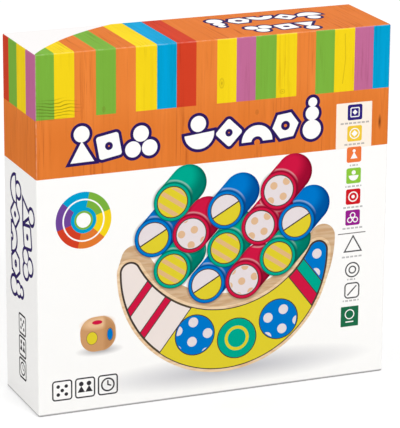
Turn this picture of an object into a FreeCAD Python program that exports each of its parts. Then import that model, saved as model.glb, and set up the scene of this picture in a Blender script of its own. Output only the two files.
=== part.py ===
import FreeCAD, Part
import math
import os

import Sketcher

# A boxed stacking balance game. The box stands on its lower edge, as it does on a shelf:
# X runs to the right, -Y points out of the printed face, +Z is up, and the origin is under the
# middle of the box, on the surface that it stands on. All sizes are in millimetres.

# Everything is sized from the stored pieces outwards, so that the box fits what it holds. With the
# values below it comes out 250 wide, 245 tall and 66 deep.
DIMENSIONS = [
    ("rocker_width", 200, "horn to horn"),
    ("rocker_tall", 88, "foot of the curve to the top of the horns"),
    ("rocker_thick", 28, "thickness of the plank that the rocker is sawn from"),
    ("rocker_dish", 34, "depth of the dish below the horns"),
    ("horn_radius", 11, "rounding of the horns"),
    ("rocker_bevel", 1.5, "bevel round both faces of the rocker"),
    ("stacker_long", 40, "length of a stacking piece"),
    ("stacker_rise", 2, "how much taller a stacking piece is than it is wide"),
    ("stacker_taper", 4, "how much smaller the radius of a piece's crown is than its base's"),
    ("green_width", 36, "green pieces, across"),
    ("blue_width", 33, "blue pieces, across"),
    ("red_width", 30, "red pieces, across"),
    ("die_edge", 25, "wooden die, face to face"),
    ("die_bevel", 3, "bevel along the edges of the die"),
    ("web", 4, "card left between one row of wells and the next"),
    ("die_web", 5, "card left between the rocker's dish and the die"),
    ("well_gap", 0.4, "gap between a stored piece and its well"),
    ("thumb_radius", 13, "thumb notches beside the rocker"),
    ("thumb_angle", 50, "where the notches lie on the rocker's curve, in degrees from its foot"),
    ("side_margin", 20.2, "card left beside the rocker, left and right"),
    ("end_margin", 15.2, "card left below the rocker and above the top row"),
    ("platform_rise", 22, "height of the insert's platform over the tray's floor"),
    ("card", 1.5, "fluted card of the insert"),
    ("card_fold", 0.6, "inside radius of the insert's folds"),
    ("card_gap", 0.3, "gap between the insert and the tray's walls"),
    ("corner_relief", 4, "notch that frees the folds at the insert's corners"),
    ("paper", 0.7, "each half of the folded leaflet, a few sheets thick"),
    ("paper_slit", 0.3, "gap between the halves of the leaflet"),
    ("leaflet_width", 105, "folded leaflet, across"),
    ("leaflet_tall", 148, "folded leaflet, bottom to top"),
    ("leaflet_margin", 12.7, "from the leaflet's open edge to the insert's right edge"),
    ("rest_gap", 0.3, "gap between the leaflet and what it rests on"),
    ("head_room", 22, "from the fronts of the stored pieces to the lid's face"),
    ("board", 2, "wrapped greyboard of the lid and the tray"),
    ("fold_radius", 1.2, "rounding where the printed paper folds over the board"),
    ("lid_gap", 0.5, "running gap between the lid's walls and the tray's"),
    ("seat_gap", 0.3, "gap between the tray's rim and the inside of the lid"),
    ("rim_setback", 0.5, "how far the lid's rim stops short of the tray's back"),
]
COLUMNS = 4
COLOURS = ("green", "blue", "red")

doc = FreeCAD.newDocument("balance_game")
dims = doc.addObject("Spreadsheet::Sheet", "dims")
for row, (alias, value, note) in enumerate(DIMENSIONS, start=1):
    dims.set(f"A{row}", note)
    dims.set(f"B{row}", str(value))
    dims.setAlias(f"B{row}", alias)
doc.recompute()

# Places and sizes that several pieces share, written once as expressions on the sheet. The stored
# pieces lie in rows: the rocker at the bottom, then one row of each colour.
LAYOUT_TALL = "(dims.rocker_tall + dims.green_width + dims.blue_width + dims.red_width" \
              " + 3*dims.stacker_rise + 3*dims.web)"
INSERT_WIDTH = "(dims.rocker_width + 2*dims.side_margin)"
INSERT_TALL = f"({LAYOUT_TALL} + 2*dims.end_margin)"
TRAY_WIDTH = f"({INSERT_WIDTH} + 2*dims.card_gap + 2*dims.board)"
TRAY_TALL = f"({INSERT_TALL} + 2*dims.card_gap + 2*dims.board)"
TRAY_MARGIN = "(dims.board + dims.lid_gap)"
BOX_WIDTH = f"({TRAY_WIDTH} + 2*{TRAY_MARGIN})"
BOX_TALL = f"({TRAY_TALL} + 2*{TRAY_MARGIN})"
BOX_DEPTH = "(2*dims.board + dims.stacker_long + dims.head_room)"
FRONT = f"(-{BOX_DEPTH}/2)"
BACK = f"({BOX_DEPTH}/2)"
LID_RIM = f"({BACK} - dims.rim_setback)"
TRAY_RIM = f"({FRONT} + dims.board + dims.seat_gap)"
TRAY_FLOOR = f"({BACK} - dims.board)"
INSERT_LOW = f"({TRAY_MARGIN} + dims.board + dims.card_gap)"
PLATFORM = f"({TRAY_FLOOR} - dims.platform_rise)"
ROCKER_FOOT = f"({INSERT_LOW} + dims.end_margin)"
DIE_MIDDLE = f"({ROCKER_FOOT} + dims.rocker_tall - dims.rocker_dish + dims.die_web + dims.die_edge/2)"
COLUMN_PITCH = f"((dims.rocker_width - dims.green_width)/{COLUMNS - 1})"
FIRST_COLUMN = f"(-{(COLUMNS - 1) / 2}*{COLUMN_PITCH})"
ROWS = {}
row_foot = f"({ROCKER_FOOT} + dims.rocker_tall + dims.web)"
for colour in COLOURS:
    row_tall = f"(dims.{colour}_width + dims.stacker_rise)"
    ROWS[colour] = f"({row_foot} + {row_tall}/2)"
    row_foot = f"({row_foot} + {row_tall} + dims.web)"

# The rocker's crescent: the hull and the dish both run smoothly into the round horns.
HORN_REACH = "(dims.rocker_width/2 - dims.horn_radius)"
HORN_LEVEL = "(dims.rocker_tall - dims.horn_radius)"
HULL_RADIUS = (
    f"(({HORN_REACH}^2 + {HORN_LEVEL}^2 - dims.horn_radius^2)"
    f"/(2*({HORN_LEVEL} - dims.horn_radius)))"
)
DISH_RADIUS = f"(({HORN_REACH}^2 + dims.rocker_dish^2)/(2*dims.rocker_dish) - dims.horn_radius)"


def number(expression):
    # The value of an expression on the sheet, in millimetres or degrees.
    return float(dims.evalExpression(expression.replace("dims.", "")))


def new_body(label):
    body = doc.addObject("PartDesign::Body", label)
    body.Label = label
    return body


def plane(body, role):
    return next(feature for feature in body.Origin.OriginFeatures if feature.Role == role)


def face_sketch(body, name, level="0"):
    # A sketch seen from the printed face: its x is X and its y is Z, and it lies at Y = level.
    sketch = body.newObject("Sketcher::SketchObject", name)
    sketch.AttachmentSupport = (plane(body, "XZ_Plane"), [""])
    sketch.MapMode = "FlatFace"
    sketch.setExpression("AttachmentOffset.Base.z", f"-({level})")
    return sketch


def hold(sketch, name, constraint, expression):
    # Adds a named constraint and ties it to the sheet.
    index = sketch.addConstraint(constraint)
    sketch.renameConstraint(index, name)
    sketch.setExpression(f"Constraints.{name}", expression)


def hold_point(sketch, name, geometry, corner, x, y):
    # Holds a point of the sketch at x, y from its origin.
    across = Sketcher.Constraint("DistanceX", -1, 1, geometry, corner, number(x))
    up = Sketcher.Constraint("DistanceY", -1, 1, geometry, corner, number(y))
    hold(sketch, f"{name}_x", across, x)
    hold(sketch, f"{name}_y", up, y)


def rectangle(sketch, width, tall, low, middle="0", name="rectangle"):
    # A rectangle that stands on y = low, centred on x = middle.
    left = f"({middle} - {width}/2)"
    x, y, wide, high = number(left), number(low), number(width), number(tall)
    corners = [(x, y), (x + wide, y), (x + wide, y + high), (x, y + high)]
    points = [FreeCAD.Vector(*corner, 0) for corner in corners]
    first = sketch.GeometryCount
    for i in range(4):
        sketch.addGeometry(Part.LineSegment(points[i], points[(i + 1) % 4]), False)
    for i in range(4):
        sketch.addConstraint(Sketcher.Constraint("Coincident", first + i, 2, first + (i + 1) % 4, 1))
        sketch.addConstraint(Sketcher.Constraint(("Horizontal", "Vertical")[i % 2], first + i))
    hold(sketch, f"{name}_width", Sketcher.Constraint("DistanceX", first, 1, first, 2, wide), width)
    hold(sketch, f"{name}_tall", Sketcher.Constraint("DistanceY", first + 1, 1, first + 1, 2, high), tall)
    hold_point(sketch, f"{name}_corner", first, 1, left, low)


def arc(sketch, centre, radius, start, end):
    # An arc drawn anticlockwise from the angle start to the angle end, in radians.
    circle = Part.Circle(FreeCAD.Vector(*centre, 0), FreeCAD.Vector(0, 0, 1), radius)
    return sketch.addGeometry(Part.ArcOfCircle(circle, start, end), False)


def join_smoothly(sketch, links):
    # Each link names an arc and its end, then the next arc and its end.
    for link in links:
        sketch.addConstraint(Sketcher.Constraint("Tangent", *link))


def egg_outline(sketch, colour, grow="0"):
    # An egg on its broad end, centred on the sketch's origin and grown all round by grow.
    base_radius = f"(dims.{colour}_width/2 + {grow})"
    crown_radius = f"(dims.{colour}_width/2 - dims.stacker_taper + {grow})"
    base_level = "(-dims.stacker_rise/2)"
    crown_level = "(dims.stacker_rise/2 + dims.stacker_taper)"
    base, crown, low, high = map(number, (base_radius, crown_radius, base_level, crown_level))
    flank = (base**2 - crown**2 + (high - low) ** 2) / (2 * (base - crown))
    lean = math.atan2(high - low, flank - base)
    foot = arc(sketch, (0, low), base, math.pi, 2 * math.pi)
    right = arc(sketch, (base - flank, low), flank, 0, lean)
    top = arc(sketch, (0, high), crown, lean, math.pi - lean)
    left = arc(sketch, (flank - base, low), flank, math.pi - lean, math.pi)
    join_smoothly(sketch, [(foot, 2, right, 1), (right, 2, top, 1), (top, 2, left, 1), (left, 2, foot, 1)])
    sketch.addConstraint(Sketcher.Constraint("PointOnObject", foot, 3, -2))
    sketch.addConstraint(Sketcher.Constraint("PointOnObject", top, 3, -2))
    sketch.addConstraint(Sketcher.Constraint("Equal", right, left))
    sketch.addConstraint(Sketcher.Constraint("Horizontal", foot, 3, right, 3))
    hold(sketch, "base", Sketcher.Constraint("Radius", foot, base), base_radius)
    hold(sketch, "crown", Sketcher.Constraint("Radius", top, crown), crown_radius)
    hold(sketch, "base_level", Sketcher.Constraint("DistanceY", -1, 1, foot, 3, low), base_level)
    hold(sketch, "crown_level", Sketcher.Constraint("DistanceY", -1, 1, top, 3, high), crown_level)


def rocker_outline(sketch, grow="0"):
    # The rocker's crescent with its foot at the sketch's origin, grown all round by grow.
    extra, reach, level = number(grow), number(HORN_REACH), number(HORN_LEVEL)
    horn, hull, dish = number("dims.horn_radius"), number(HULL_RADIUS), number(DISH_RADIUS)
    dish_middle = number("dims.rocker_tall - dims.rocker_dish") + dish
    flare = math.atan2(level - hull, reach)
    slope = math.atan2(dish_middle - level, reach)
    keel = arc(sketch, (0, hull), hull + extra, math.pi - flare, 2 * math.pi + flare)
    right = arc(sketch, (reach, level), horn + extra, flare, math.pi - slope)
    hollow = arc(sketch, (0, dish_middle), dish - extra, math.pi + slope, 2 * math.pi - slope)
    left = arc(sketch, (-reach, level), horn + extra, slope, math.pi - flare)
    join_smoothly(sketch, [(keel, 2, right, 1), (right, 2, hollow, 2)])
    join_smoothly(sketch, [(hollow, 1, left, 1), (left, 2, keel, 1)])
    sketch.addConstraint(Sketcher.Constraint("Equal", right, left))
    sketch.addConstraint(Sketcher.Constraint("Symmetric", right, 3, left, 3, -2))
    hold_point(sketch, "horn_middle", right, 3, HORN_REACH, HORN_LEVEL)
    hold(sketch, "horn", Sketcher.Constraint("Radius", right, horn + extra), f"dims.horn_radius + {grow}")
    hold(sketch, "hull", Sketcher.Constraint("Radius", keel, hull + extra), f"{HULL_RADIUS} + {grow}")
    hold(sketch, "dish", Sketcher.Constraint("Radius", hollow, dish - extra), f"{DISH_RADIUS} - {grow}")


def pad(body, sketch, length):
    feature = body.newObject("PartDesign::Pad", "Pad")
    feature.Profile = sketch
    feature.setExpression("Length", length)
    doc.recompute()
    return feature


def pocket(body, sketch, length, forwards=False):
    # Cuts a sketch towards the back, +Y, or forwards, -Y. A cut that takes nothing away is an error.
    before = body.Shape.Volume
    feature = body.newObject("PartDesign::Pocket", "Pocket")
    feature.Profile = sketch
    feature.Reversed = forwards
    feature.setExpression("Length", length)
    doc.recompute()
    if not body.Shape.Volume < before - 1:
        raise ValueError(f"{body.Label}: {sketch.Name} cuts nothing")
    return feature


def dress_edges(body, kind, size, *levels):
    # Rounds (Fillet) or bevels (Chamfer) the edges that lie wholly at one of the levels in Y.
    base = body.Tip
    edges = enumerate(base.Shape.Edges, start=1)
    names = [f"Edge{i}" for i, edge in edges if any(lies_at(edge, level) for level in levels)]
    if not names:
        raise ValueError(f"{body.Label}: no edge to dress")
    feature = body.newObject(f"PartDesign::{kind}", kind)
    feature.Base = (base, names)
    feature.setExpression("Radius" if kind == "Fillet" else "Size", size)
    doc.recompute()
    return feature


def lies_at(edge, level):
    # True if the whole edge lies in the plane Y = level.
    box = edge.BoundBox
    return abs(box.YMin - level) < 1e-4 and abs(box.YMax - level) < 1e-4


def make_lid():
    # The printed lid: a face and four full-depth walls, open at the back.
    body = new_body("lid")
    outside = face_sketch(body, "lid_outside", LID_RIM)
    rectangle(outside, BOX_WIDTH, BOX_TALL, "0")
    pad(body, outside, f"{LID_RIM} - {FRONT}")
    dress_edges(body, "Fillet", "dims.fold_radius", number(FRONT))
    inside = face_sketch(body, "lid_inside", LID_RIM)
    rectangle(inside, f"({BOX_WIDTH} - 2*dims.board)", f"({BOX_TALL} - 2*dims.board)", "dims.board")
    pocket(body, inside, f"{LID_RIM} - {FRONT} - dims.board", forwards=True)
    return body


def make_tray():
    # The tray that the lid slides over: a back and four walls, open at the front.
    body = new_body("base_tray")
    outside = face_sketch(body, "tray_outside", BACK)
    rectangle(outside, TRAY_WIDTH, TRAY_TALL, TRAY_MARGIN)
    pad(body, outside, f"{BACK} - {TRAY_RIM}")
    dress_edges(body, "Fillet", "dims.fold_radius", number(BACK))
    inside = face_sketch(body, "tray_inside", TRAY_RIM)
    inner_width, inner_tall = f"({TRAY_WIDTH} - 2*dims.board)", f"({TRAY_TALL} - 2*dims.board)"
    rectangle(inside, inner_width, inner_tall, f"({TRAY_MARGIN} + dims.board)")
    pocket(body, inside, f"{TRAY_FLOOR} - {TRAY_RIM}")
    return body


def cut_well(body, name, draw, x, z):
    # Die-cuts one outline through the insert's platform, with its origin at x, z.
    well = face_sketch(body, name, PLATFORM)
    well.setExpression("AttachmentOffset.Base.x", x)
    well.setExpression("AttachmentOffset.Base.y", z)
    draw(well)
    return pocket(body, well, "dims.card")


def make_insert():
    # The insert, folded from one sheet of card: a platform with die-cut wells, on four flaps.
    body = new_body("insert")
    blank = face_sketch(body, "insert_outside", TRAY_FLOOR)
    rectangle(blank, INSERT_WIDTH, INSERT_TALL, INSERT_LOW)
    pad(body, blank, "dims.platform_rise")
    dress_edges(body, "Fillet", "dims.card + dims.card_fold", number(PLATFORM))
    hollow = face_sketch(body, "insert_hollow", TRAY_FLOOR)
    inner_width, inner_tall = f"({INSERT_WIDTH} - 2*dims.card)", f"({INSERT_TALL} - 2*dims.card)"
    rectangle(hollow, inner_width, inner_tall, f"({INSERT_LOW} + dims.card)")
    pocket(body, hollow, "dims.platform_rise - dims.card", forwards=True)
    dress_edges(body, "Fillet", "dims.card_fold", number(f"{PLATFORM} + dims.card"))
    notches = face_sketch(body, "corner_notches", PLATFORM)
    notch = "(2*dims.corner_relief)"
    for end, level in (("low", INSERT_LOW), ("high", f"({INSERT_LOW} + {INSERT_TALL})")):
        for side, edge in (("left", f"(-{INSERT_WIDTH}/2)"), ("right", f"({INSERT_WIDTH}/2)")):
            rectangle(notches, notch, notch, f"({level} - dims.corner_relief)", edge, f"{end}_{side}")
    pocket(body, notches, "dims.platform_rise")
    for colour in COLOURS:
        cut = cut_well(body, f"{colour}_well", lambda well: egg_outline(well, colour, "dims.well_gap"),
                       FIRST_COLUMN, ROWS[colour])
        row_of_wells = body.newObject("PartDesign::LinearPattern", f"{colour}_wells")
        row_of_wells.Originals = [cut]
        row_of_wells.Direction = (cut.Profile[0], ["H_Axis"])
        row_of_wells.setExpression("Length", f"{COLUMNS - 1}*{COLUMN_PITCH}")
        row_of_wells.Occurrences = COLUMNS
        body.Tip = row_of_wells
        doc.recompute()
    cut_well(body, "rocker_well", lambda well: rocker_outline(well, "dims.well_gap"), "0", ROCKER_FOOT)
    die_room = "(dims.die_edge + 2*dims.well_gap)"
    cut_well(body, "die_well", lambda well: rectangle(well, die_room, die_room, f"(-{die_room}/2)"),
             "0", DIE_MIDDLE)
    thumbs = face_sketch(body, "thumb_notches", PLATFORM)
    reach = f"({HULL_RADIUS}*sin(dims.thumb_angle*1deg))"
    level = f"({ROCKER_FOOT} + {HULL_RADIUS}*(1 - cos(dims.thumb_angle*1deg)))"
    thumb = number("dims.thumb_radius")
    for side, x in (("left", f"(-{reach})"), ("right", reach)):
        centre = FreeCAD.Vector(number(x), number(level), 0)
        drawn = thumbs.addGeometry(Part.Circle(centre, FreeCAD.Vector(0, 0, 1), thumb), False)
        hold(thumbs, f"{side}_radius", Sketcher.Constraint("Radius", drawn, thumb), "dims.thumb_radius")
        hold_point(thumbs, f"{side}_middle", drawn, 3, x, level)
    pocket(body, thumbs, "dims.card")
    return body


def make_rocker():
    # The rocker, sawn from one plank: a round hull to rock on and a dish that takes the pieces.
    body = new_body("rocker")
    crescent = face_sketch(body, "crescent")
    rocker_outline(crescent)
    pad(body, crescent, "dims.rocker_thick")
    dress_edges(body, "Chamfer", "dims.rocker_bevel", 0, -number("dims.rocker_thick"))
    body.setExpression("Placement.Base.y", TRAY_FLOOR)
    body.setExpression("Placement.Base.z", ROCKER_FOOT)
    return body


def make_stacker(colour, column):
    # One wooden stacking piece with an egg-shaped section, stored end-on in its well.
    body = new_body(f"stacker_{colour}_{column + 1}")
    section = face_sketch(body, "section")
    egg_outline(section, colour)
    pad(body, section, "dims.stacker_long")
    body.setExpression("Placement.Base.x", f"{FIRST_COLUMN} + {column}*{COLUMN_PITCH}")
    body.setExpression("Placement.Base.y", TRAY_FLOOR)
    body.setExpression("Placement.Base.z", ROWS[colour])
    return body


def make_die():
    # The wooden die, bevelled along every edge.
    body = new_body("die")
    face = face_sketch(body, "die_face")
    rectangle(face, "dims.die_edge", "dims.die_edge", "(-dims.die_edge/2)")
    cube = pad(body, face, "dims.die_edge")
    bevel = body.newObject("PartDesign::Chamfer", "Chamfer")
    bevel.Base = (cube, [f"Edge{i}" for i in range(1, 13)])
    bevel.setExpression("Size", "dims.die_bevel")
    body.setExpression("Placement.Base.y", TRAY_FLOOR)
    body.setExpression("Placement.Base.z", DIE_MIDDLE)
    return body


def make_leaflet():
    # The folded rules leaflet, standing in front of the stored pieces with its fold on the left.
    body = new_body("rules_leaflet")
    thick = "(2*dims.paper + dims.paper_slit)"
    section = body.newObject("Sketcher::SketchObject", "fold_section")
    section.AttachmentSupport = (plane(body, "XY_Plane"), [""])
    section.MapMode = "FlatFace"
    outer, inner, width = number(f"{thick}/2"), number("dims.paper_slit/2"), number("dims.leaflet_width")
    fold_out = arc(section, (outer, 0), outer, math.pi / 2, 3 * math.pi / 2)
    fold_in = arc(section, (outer, 0), inner, math.pi / 2, 3 * math.pi / 2)
    halves = []
    for y_fold, y_far in ((-outer, -inner), (inner, outer)):
        corners = [(outer, y_fold), (width, y_fold), (width, y_far), (outer, y_far)]
        points = [FreeCAD.Vector(*corner, 0) for corner in corners]
        half = [section.addGeometry(Part.LineSegment(*points[i:i + 2]), False) for i in range(3)]
        for line, kind in zip(half, ("Horizontal", "Vertical", "Horizontal")):
            section.addConstraint(Sketcher.Constraint(kind, line))
        for first, second in zip(half, half[1:]):
            section.addConstraint(Sketcher.Constraint("Coincident", first, 2, second, 1))
        halves.append(half)
    front, back = halves
    join_smoothly(section, [(fold_out, 2, front[0], 1), (front[2], 2, fold_in, 2)])
    join_smoothly(section, [(fold_in, 1, back[0], 1), (back[2], 2, fold_out, 1)])
    section.addConstraint(Sketcher.Constraint("Coincident", fold_in, 3, fold_out, 3))
    section.addConstraint(Sketcher.Constraint("PointOnObject", fold_out, 3, -1))
    section.addConstraint(Sketcher.Constraint("Vertical", front[1], 1, back[1], 1))
    hold(section, "fold", Sketcher.Constraint("Radius", fold_out, outer), f"{thick}/2")
    hold(section, "slit", Sketcher.Constraint("Radius", fold_in, inner), "dims.paper_slit/2")
    hold(section, "middle", Sketcher.Constraint("DistanceX", -1, 1, fold_out, 3, outer), f"{thick}/2")
    hold(section, "width", Sketcher.Constraint("DistanceX", -1, 1, front[1], 1, width), "dims.leaflet_width")
    pad(body, section, "dims.leaflet_tall")
    right_edge = f"({INSERT_WIDTH}/2 - dims.leaflet_margin)"
    body.setExpression("Placement.Base.x", f"{right_edge} - dims.leaflet_width")
    stackers_front = f"({TRAY_FLOOR} - dims.stacker_long)"
    body.setExpression("Placement.Base.y", f"{stackers_front} - dims.rest_gap - {thick}/2")
    body.setExpression("Placement.Base.z", f"{TRAY_MARGIN} + dims.board + dims.rest_gap")
    return body


pieces = [make_lid(), make_tray(), make_insert(), make_rocker(), make_die(), make_leaflet()]
pieces += [make_stacker(colour, column) for colour in COLOURS for column in range(COLUMNS)]
doc.recompute()

for item in doc.Objects:
    if {"Invalid", "Error"} & set(item.State):
        raise ValueError(f"{item.Label}: {item.State}")
for piece in pieces:
    if piece.Shape.isNull() or not piece.Shape.isValid() or piece.Shape.Volume <= 0:
        raise ValueError(f"{piece.Label}: no valid solid")

os.makedirs("parts", exist_ok=True)
for piece in pieces:
    piece.Shape.exportStep(f"parts/{piece.Label}.step")
    box = piece.Shape.BoundBox
    print(f"{piece.Label}: {len(piece.Shape.Solids)} solid, {piece.Shape.Volume / 1000:.1f} cm3,",
          f"X {box.XMin:.1f} to {box.XMax:.1f}, Y {box.YMin:.1f} to {box.YMax:.1f},",
          f"Z {box.ZMin:.1f} to {box.ZMax:.1f}")
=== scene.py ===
import math
from functools import reduce

import bmesh
import bpy
from mathutils import Matrix, Vector


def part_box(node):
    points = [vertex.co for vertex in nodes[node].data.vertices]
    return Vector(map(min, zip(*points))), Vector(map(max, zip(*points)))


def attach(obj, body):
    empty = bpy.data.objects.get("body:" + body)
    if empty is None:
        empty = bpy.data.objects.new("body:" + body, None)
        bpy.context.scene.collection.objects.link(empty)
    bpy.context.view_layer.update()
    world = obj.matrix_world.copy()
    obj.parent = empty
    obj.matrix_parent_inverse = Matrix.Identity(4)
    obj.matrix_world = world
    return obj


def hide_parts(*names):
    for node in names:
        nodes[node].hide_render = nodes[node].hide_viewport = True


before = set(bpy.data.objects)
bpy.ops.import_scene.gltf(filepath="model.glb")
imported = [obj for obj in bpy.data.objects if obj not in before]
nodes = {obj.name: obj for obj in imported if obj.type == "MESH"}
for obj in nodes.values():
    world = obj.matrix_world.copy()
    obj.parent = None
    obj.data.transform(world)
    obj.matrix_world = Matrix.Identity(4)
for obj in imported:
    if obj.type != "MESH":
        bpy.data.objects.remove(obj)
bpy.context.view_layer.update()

mm = 0.001
facing = 0.7             # a face looks along an axis when its normal has more than this of it
scene = bpy.context.scene
scene.view_settings.view_transform = "Standard"


def corners(node):
    # a node's lowest and highest corners at rest, in millimetres
    return [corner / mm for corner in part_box(node)]


# small helpers for materials: every length in a pattern is in millimetres

def shade(red, green, blue):
    # a screen colour, 0 to 255, as the shader's own numbers
    def linear(value):
        value /= 255
        return value / 12.92 if value <= 0.04045 else ((value + 0.055) / 1.055) ** 2.4
    return (linear(red), linear(green), linear(blue), 1.0)


def operator(operation, turned=False):
    # what a Python operator does with an amount: add a Math node, with its sides turned round or not
    def apply(one, other=0.0):
        return one.finish.maths(operation, *((other, one) if turned else (one, other)))
    return apply


class Amount:
    # a number socket: Python's operators on it add Math nodes

    def __init__(self, finish, socket):
        self.finish = finish
        self.socket = socket

    __add__ = __radd__ = operator("ADD")
    __sub__, __rsub__ = operator("SUBTRACT"), operator("SUBTRACT", True)
    __mul__ = __rmul__ = operator("MULTIPLY")
    __truediv__ = operator("DIVIDE")
    __mod__ = operator("FLOORED_MODULO")
    __neg__ = operator("SUBTRACT", True)      # from zero
    __abs__ = operator("ABSOLUTE")


class Finish:
    # a material, or the sky, that is being built node by node

    def __init__(self, name, library="materials"):
        self.material = getattr(bpy.data, library).new(name)
        self.material.use_nodes = True
        self.tree = self.material.node_tree
        self.tree.nodes.clear()
        self.place = self.node("ShaderNodeTexCoord").outputs["Object"]

    def node(self, kind, settings=None, values=None):
        made = self.tree.nodes.new(kind)
        for key, value in (settings or {}).items():
            if key == "stops":
                made.color_ramp.interpolation = value[0]
                stops = made.color_ramp.elements
                while len(stops) < len(value[1]):
                    stops.new(1.0)
                for stop, (position, colour) in zip(stops, value[1]):
                    stop.position = position
                    stop.color = colour
            else:
                setattr(made, key, value)
        for key, value in (values or {}).items():
            if isinstance(value, Amount):
                value = value.socket
            if isinstance(value, bpy.types.NodeSocket):
                self.tree.links.new(value, made.inputs[key])
            else:
                made.inputs[key].default_value = value
        return made

    def maths(self, operation, first, second=0.0, third=0.0, clamp=False):
        made = self.node("ShaderNodeMath", {"operation": operation, "use_clamp": clamp},
                         {0: first, 1: second, 2: third})
        return Amount(self, made.outputs[0])

    def least(self, *amounts):
        return reduce(lambda one, other: self.maths("MINIMUM", one, other), amounts)

    def most(self, *amounts):
        return reduce(lambda one, other: self.maths("MAXIMUM", one, other), amounts)

    def vector(self, operation, first, second=(0, 0, 0)):
        made = self.node("ShaderNodeVectorMath", {"operation": operation}, {0: first, 1: second})
        if operation in ("DISTANCE", "LENGTH", "DOT_PRODUCT"):
            return Amount(self, made.outputs["Value"])
        return made.outputs["Vector"]

    def mix(self, factor, under, over, blend="MIX"):
        made = self.node("ShaderNodeMix", {"data_type": "RGBA", "blend_type": blend},
                         {0: factor, 6: under, 7: over})
        return made.outputs[2]

    def noise(self, size, detail=2.0, roughness=0.5, stretch=(1, 1, 1), warp=0.0):
        # size is the length of one wave along an unstretched axis
        scale = tuple(1 / (mm * size * part) for part in stretch)
        place = self.node("ShaderNodeMapping", None, {"Vector": self.place, "Scale": scale}).outputs[0]
        made = self.node("ShaderNodeTexNoise", None,
                         {"Vector": place, "Scale": 1.0, "Detail": detail,
                          "Roughness": roughness, "Distortion": warp})
        return Amount(self, made.outputs[0])

    def streaks(self, size, reach, along, detail, roughness=0.5, warp=0.0):
        # waves of one size that reach further along one axis
        stretch = tuple(reach / size if axis == along else 1 for axis in "XYZ")
        return self.noise(size, detail, roughness, stretch, warp)

    def between(self, amount, low, high, soft=True):
        # 0 below low, 1 above high
        made = self.node("ShaderNodeMapRange", {"interpolation_type": "SMOOTHSTEP" if soft else "LINEAR"},
                         {"Value": amount, "From Min": low, "From Max": high})
        return Amount(self, made.outputs[0])

    def tinted(self, colour, tint, wave, low, high, share):
        # a share of a tint where a wave is high
        return self.mix(self.between(wave, low, high) * share, colour, tint)

    def close(self, colour, roughness, height, bump, depth, specular=0.5):
        # the shader itself: height is in waves, depth in millimetres
        normal = self.node("ShaderNodeBump", None, {
            "Strength": bump, "Distance": depth * mm, "Height": height}).outputs[0]
        shader = self.node("ShaderNodeBsdfPrincipled", None, {
            "Base Color": colour, "Roughness": roughness, "Normal": normal, "Specular IOR Level": specular})
        self.node("ShaderNodeOutputMaterial", None, {"Surface": shader.outputs[0]})
        return self.material


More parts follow.
